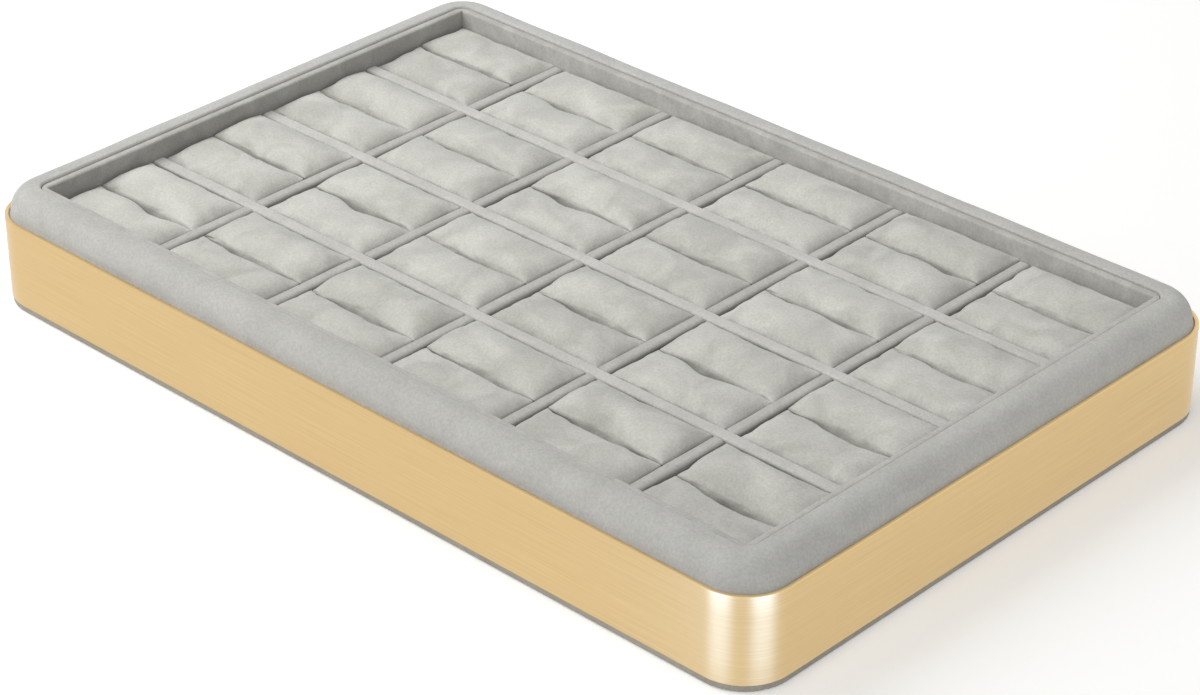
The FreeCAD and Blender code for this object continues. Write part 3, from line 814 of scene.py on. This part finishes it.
def divider_strip(name, place, reach, crossings, lengthwise):
    """One strip. A lengthwise one passes over the strips that cross it, and the others pass under."""
    middle_height = (floor_top + strip_top) / 2
    relief = 0.0 if lengthwise else CROSS_STRIP_RELIEF
    rows = []
    for spot in strip_stations(reach, crossings):
        away = min(abs(spot - crossing) for crossing in crossings) - half_slot
        foot, top = floor_top, strip_top
        if away < 0:
            foot, top = (middle_height, strip_top) if lengthwise else (floor_top, middle_height)
        elif not lengthwise:
            top -= round_off(away, SLOT_EASE)
        top -= round_off(reach - abs(spot), END_EASE)
        section = strip_section(foot, top, relief)
        if lengthwise:
            rows.append([(spot, place + across, z) for across, z in section])
        else:
            rows.append([(place - across, spot, z) for across, z in section])
    grid = np.array(rows)
    free = slice(STRIP_STILL_POINTS, -STRIP_STILL_POINTS)
    uneven(grid, free, STRIP_UNEVEN, STRIP_UNEVEN_LENGTH, place / MM)
    suede = long_strip_suede if lengthwise else cross_strip_suede
    return skin(name, grid, False, suede, sharp_degrees=55)


strips = {}
for k, place in enumerate(long_places, start=1):
    strips[f"long_divider_{k}"] = divider_strip(f"long_strip_{k}", place, well_x, cross_places, True)
for k, place in enumerate(cross_places, start=1):
    strips[f"cross_divider_{k}"] = divider_strip(f"cross_strip_{k}", place, well_y, long_places, False)
for node, strip in strips.items():
    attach(strip, "insert")
    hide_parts(node)
print("divider strips:", len(strips))

# %% [markdown]
# ## The ring cushions
# Each cell holds a pair of foam rolls wrapped in suede, pressed together so that the slit between them
# grips a ring. Every roll starts as the same closed box with rounded edges. A bevelled cube would do, but
# its long thin faces can't be bent, so the box is built from even quads with closer ones at the edges.

# %% A box with rounded edges
ROLL_STEP = 2.0 * MM
ROLL_ROUND = Vector((0.8, 0.6, 0.7)) * MM
EDGE_TURNS = (15, 30, 45)
SLIT_CLOSED = 0.10 * MM
# Stands in for a length of zero, so that nothing is divided by it
TINY = 1e-9


def axis_steps(half, radius):
    """Places along one side of a box: even steps, with closer ones where its edge is rounded."""
    flat = half - radius
    count = max(2, round(2 * flat / ROLL_STEP))
    turn = [radius * math.tan(math.radians(a)) for a in EDGE_TURNS]
    middle = list(np.linspace(-flat, flat, count + 1))
    return np.array([-flat - t for t in reversed(turn)] + middle + [flat + t for t in turn])


def rounded_box(half):
    """Places and faces of a closed box with rounded edges, as even quads."""
    axes = [axis_steps(half[k], ROLL_ROUND[k]) for k in range(3)]
    counts = [len(a) for a in axes]
    number, places, faces = {}, [], []

    def vertex(*key):
        if key not in number:
            number[key] = len(places)
            places.append([axes[k][key[k]] for k in range(3)])
        return number[key]

    for k in range(3):
        a, b = (k + 1) % 3, (k + 2) % 3
        for level in (0, counts[k] - 1):
            for i in range(counts[a] - 1):
                for j in range(counts[b] - 1):
                    corner = []
                    for step_a, step_b in ((0, 0), (1, 0), (1, 1), (0, 1)):
                        key = [0, 0, 0]
                        key[k], key[a], key[b] = level, i + step_a, j + step_b
                        corner.append(vertex(*key))
                    faces.append(corner if level else corner[::-1])
    places = np.array(places)
    radius = np.array(ROLL_ROUND)
    core = np.clip(places, radius - np.array(half), np.array(half) - radius)
    away = (places - core) / radius
    away /= np.maximum(np.linalg.norm(away, axis=1), TINY)[:, None]
    return core + away * radius, faces


cell_low, cell_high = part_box("ring_pad_r1_c1")
pad_length, pad_width, pad_height = cell_high - cell_low
roll_half = Vector((pad_length / 2, (pad_width - 2 * SLIT_CLOSED) / 4, pad_height / 2))
box_places, box_faces = rounded_box(roll_half)
print("places in a roll:", len(box_places))

# %% [markdown]
# The box's skin is then drawn to shape: crowned across and along, sagging at its right-hand end where the
# cloth is folded under, and parted from its neighbour by a slit that gapes more in one cell than in the
# next. How far each slit gapes, and where, was judged cell by cell. Sculpting 48 rolls by hand
# would be slower to change, and a formula keeps them one family. Small random draws make each a little
# different.

# %% The form of a roll
# For each cell, front row first: the slit's gape in mm, and its middle and reach as shares of half a roll
SLITS = [
    [(4.0, 0.35, 0.5), (3.4, 0.1, 0.5), (4.5, 0.05, 0.6),
     (2.8, 0.2, 0.7), (3.0, -0.1, 0.5), (9.5, 0.15, 0.85)],
    [(1.8, 0.6, 0.3), (6.5, 0.0, 0.45), (2.3, 0.3, 0.5),
     (5.0, 0.1, 0.55), (6.8, -0.1, 0.45), (4.5, 0.05, 0.6)],
    [(4.0, 0.0, 0.95), (1.3, 0.0, 0.4), (5.8, -0.15, 0.4),
     (2.6, 0.4, 0.4), (1.6, 0.5, 0.3), (3.8, 0.1, 0.5)],
    [(0.3, 0.5, 0.4), (5.3, 0.0, 0.4), (1.7, 0.2, 0.4),
     (3.0, -0.2, 0.45), (2.8, 0.6, 0.3), (3.3, 0.2, 0.6)],
]
# Where a value differs between the two rolls of a pair, True is the back one
OUTER_EDGE_FALLS = {True: 0.8 * MM, False: 1.5 * MM}
SLIT_EDGE_FALL = 0.15 * MM
SLIT_EDGE_FALL_SHARE = 0.2
CROWNS = {True: 2.5 * MM, False: 1.9 * MM}
# Beside a shut slit a roll keeps this share of its crown, and it gains a full crown for so much gape
SHUT_CROWN_SHARE = 0.4
CROWN_GAPE_MM = 3
CROWN_DRAW = (0.85, 1.15)
LEFT_CROWN_LOSS = 0.6
RIGHT_CROWN_LOSS = 0.15
LEFT_END_FALL = 0.5 * MM
RIGHT_END_FALL = 0.3 * MM
RIGHT_END_SAG = 2.5 * MM
SAG_START_SHARE = 0.71
SAG_POWER = 3
SAG_DRAW = (0.7, 1.2)
SLIT_DEPTHS = {True: 8.0 * MM, False: 14.0 * MM}
SLIT_REACH_SHARE = 0.8
SLIT_END_POWER = 6
SLIT_OPENING_SHARES = {True: 0.75, False: 0.25}
SLIT_SINK_SHARES = {True: 0.2, False: 0.06}
SLIT_SINK_REACH = 5.0 * MM
LUMP = 0.25 * MM
LUMP_LENGTH = 17 * MM
LUMP_SPREAD = np.array([7.3, 3.1, 1.0])
LIFT_DRAW_MM = (-0.2, 0.3)
DRAPE_DEPTH = 10.0 * MM


def smooth_step(value):
    """Eases from 0 to 1 with no corner at either end."""
    value = np.clip(value, 0, 1)
    return value * value * (3 - 2 * value)


def shape_roll(row, column, back_roll):
    """One roll of a cell's pair, in the cell's own coordinates, with the slit along y = 0."""
    seed = row * 10 + column + (0.5 if back_roll else 0.0)
    draw = np.random.default_rng(int(seed * 2))
    x, y, z = box_places.T.copy()
    y = y + roll_half.y
    z = z + roll_half.z
    along, across = x / roll_half.x, y / roll_half.y - 1
    gape, place, reach = SLITS[row][column]
    swell = np.exp(-(((along - place) / (SLIT_REACH_SHARE * reach)) ** 2))
    opening = gape * MM * swell * (1 - along ** SLIT_END_POWER)
    outer_edge = -OUTER_EDGE_FALLS[back_roll]
    inner_edge = -SLIT_EDGE_FALL - SLIT_EDGE_FALL_SHARE * gape * MM
    top = inner_edge + (outer_edge - inner_edge) * (1 + across) / 2
    top -= np.where(along < 0, LEFT_END_FALL, RIGHT_END_FALL) * along ** 2
    sag = np.clip((along - SAG_START_SHARE) / (1 - SAG_START_SHARE), 0, 1) ** SAG_POWER
    crown_share = min(1, SHUT_CROWN_SHARE + gape / CROWN_GAPE_MM)
    crown = CROWNS[back_roll] * crown_share * draw.uniform(*CROWN_DRAW) * (1 - across ** 2)
    top += crown * (1 - np.where(along < 0, LEFT_CROWN_LOSS, RIGHT_CROWN_LOSS) * along ** 4)
    top -= RIGHT_END_SAG * draw.uniform(*SAG_DRAW) * sag * (1 - across ** 4)
    top -= SLIT_SINK_SHARES[back_roll] * opening * np.exp(-((y / SLIT_SINK_REACH) ** 2))
    offset = Vector(seed * LUMP_SPREAD)
    lumps = [noise.noise(Vector(spot) / LUMP_LENGTH + offset) for spot in np.stack([x, y, z], 1)]
    top += draw.uniform(*LIFT_DRAW_MM) * MM + LUMP * np.array(lumps)
    z = z + smooth_step((z - (pad_height - DRAPE_DEPTH)) / DRAPE_DEPTH) * top
    # The back roll's flank rounds off into the slit, and the front roll's leans away from it softly
    rise = np.clip(1 + (z - pad_height) / SLIT_DEPTHS[back_roll], 0, 1)
    lean = 1 - np.sqrt(1 - rise ** 2) if back_roll else smooth_step(rise)
    near = smooth_step((1 - across) / 2)
    y = y + SLIT_CLOSED + lean * near * opening * SLIT_OPENING_SHARES[back_roll]
    return np.stack([x, y if back_roll else -y, z], 1)


rolls = {
    (row, column, back_roll): shape_roll(row, column, back_roll)
    for row in range(ROWS) for column in range(COLUMNS) for back_roll in (False, True)
}
print("rolls shaped:", len(rolls))

# %% [markdown]
# ## Letting the cloth settle
# Real suede is pulled over the foam, swells between its folds and wrinkles where there is a little too much
# of it. Blender's cloth solver does that: the upper skins of all rolls are one trial object, held along
# their lower edges, with pressure from inside and slightly too much cloth. The trial is ten times as large
# as the tray, because the solver works better on larger pieces. No place may move more than a millimetre.

# %% Cloth trial
CLOTH_SCALE = 10
CLOTH_FRAMES = 20
CLOTH_PRESSURE = 2.5
CLOTH_SPARE_SHARE = 0.012
CLOTH_REACH = 11.0 * MM
CLOTH_FREE = 9.0 * MM
CLOTH_MOST = 1.0 * MM

skin_top = box_places[:, 2] - roll_half.z
skin_faces = [face for face in box_faces if skin_top[face].min() > -CLOTH_REACH]
skin_used = np.unique(np.array(skin_faces))


def trial_cloth(skins, faces, held):
    """Runs the cloth for a few frames and gives back where its places have gone."""
    mesh = bpy.data.meshes.new("cloth_trial")
    mesh.from_pydata((skins * CLOTH_SCALE).tolist(), [], faces)
    trial = bpy.data.objects.new("cloth_trial", mesh)
    scene.collection.objects.link(trial)
    trial.vertex_groups.new(name="held").add(held.tolist(), 1.0, "REPLACE")
    cloth = trial.modifiers.new("cloth", "CLOTH")
    cloth.settings.vertex_group_mass = "held"
    cloth.settings.use_pressure = True
    cloth.settings.uniform_pressure_force = CLOTH_PRESSURE
    cloth.settings.shrink_min = -CLOTH_SPARE_SHARE
    cloth.settings.effector_weights.gravity = 0.0
    cloth.collision_settings.use_collision = False
    cloth.point_cache.frame_end = CLOTH_FRAMES
    for step in range(1, CLOTH_FRAMES + 1):
        scene.frame_set(step)
    settled = trial.evaluated_get(bpy.context.evaluated_depsgraph_get()).data
    places = np.empty(3 * len(skins))
    settled.vertices.foreach_get("co", places)
    bpy.data.objects.remove(trial)
    scene.frame_set(1)
    return places.reshape(-1, 3) / CLOTH_SCALE


def settle_rolls():
    """Moves every roll's skin to where the cloth has settled."""
    number = {int(place): k for k, place in enumerate(skin_used)}
    skins, faces, held = [], [], []
    for (row, column, back_roll), places in rolls.items():
        start = len(skins) * len(skin_used)
        for face in skin_faces:
            corner = [start + number[k] for k in face]
            faces.append(corner if back_roll else corner[::-1])
        held += [start + number[k] for k in skin_used if skin_top[k] < -CLOTH_FREE]
        skins.append(places[skin_used] + np.array([column * pad_length, row * pad_width, 0.0]))
    before = np.concatenate(skins)
    moved = trial_cloth(before, faces, np.array(held)) - before
    length = np.linalg.norm(moved, axis=1)
    moved *= np.minimum(1, CLOTH_MOST / np.maximum(length, TINY))[:, None]
    for places, step in zip(rolls.values(), moved.reshape(len(rolls), -1, 3)):
        places[skin_used] += step
    return length.mean(), length.max()


print("cloth moved, mean and most in mm:", [round(d / MM, 2) for d in settle_rolls()])

# %% [markdown]
# ## Rolls in every cell
# The rolls are pressed into their cells, so they touch the strips but don't pass through them, and the left
# ends stand a little clear. Collision in the cloth solver could do this slowly, and clipping each place to
# its cell is quick and sure. The slit's line waves a little, because no roll is quite straight.

# %% Rolls in every cell
CELL_CLEARANCE = 0.12 * MM
LEFT_END_CLEAR = 0.8 * MM
LEFT_END_REACH = 7.0 * MM
LEFT_END_EVEN_SHARE = 0.6
SLIT_WAVE = 0.35 * MM
WAVE_TURNS = (4, 7)
WAVE_SEED = 1000

cell_half = np.array([cross_places[1] - cross_places[0], long_places[1] - long_places[0]]) / 2
cell_half -= strip_thickness / 2 + CELL_CLEARANCE


def fit_cell(places, row, column, back_roll):
    """Keeps a roll inside its cell and on its side of the slit, whose line waves a little."""
    side = 1 if back_roll else -1
    high = smooth_step((places[:, 2] - (pad_height - DRAPE_DEPTH)) / DRAPE_DEPTH)
    by_slit = np.exp(-((places[:, 1] / LEFT_END_REACH) ** 2))
    clear = LEFT_END_CLEAR * (LEFT_END_EVEN_SHARE + (1 - LEFT_END_EVEN_SHARE) * by_slit)
    x = places[:, 0] + clear * high * smooth_step(-places[:, 0] / roll_half.x)
    x = np.clip(x, -cell_half[0], cell_half[0])
    y = side * np.clip(side * places[:, 1], SLIT_CLOSED / 2, cell_half[1])
    draw = np.random.default_rng(WAVE_SEED + row * 10 + column)
    turns, start = draw.uniform(*WAVE_TURNS), draw.uniform(0, 2 * math.pi)
    along = x / cell_half[0]
    near = smooth_step(1 - np.abs(y) / cell_half[1])
    wave = SLIT_WAVE * np.sin(along * turns + start) * (1 - along ** 4)
    return np.stack([x, y + wave * near * high, places[:, 2]], 1)


def cushion(row, column):
    """A cell's two rolls as one mesh object."""
    low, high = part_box(f"ring_pad_r{row + 1}_c{column + 1}")
    middle = np.array([(low.x + high.x) / 2, (low.y + high.y) / 2, low.z])
    places, faces = [], []
    for back_roll in (False, True):
        shaped = fit_cell(rolls[row, column, back_roll], row, column, back_roll) + middle
        start = len(places)
        places += shaped.tolist()
        for face in box_faces:
            corner = [start + k for k in face]
            faces.append(corner if back_roll else corner[::-1])
    mesh = bpy.data.meshes.new(f"ring_cushion_r{row + 1}_c{column + 1}")
    mesh.from_pydata(places, [], faces)
    return finish_mesh(mesh.name, mesh, cushion_suede, sharp_degrees=180)


for row in range(ROWS):
    for column in range(COLUMNS):
        node = f"ring_pad_r{row + 1}_c{column + 1}"
        pair = cushion(row, column)
        subdivide(pair)
        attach(pair, node)
        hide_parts(node)
print("cushions made:", ROWS * COLUMNS)
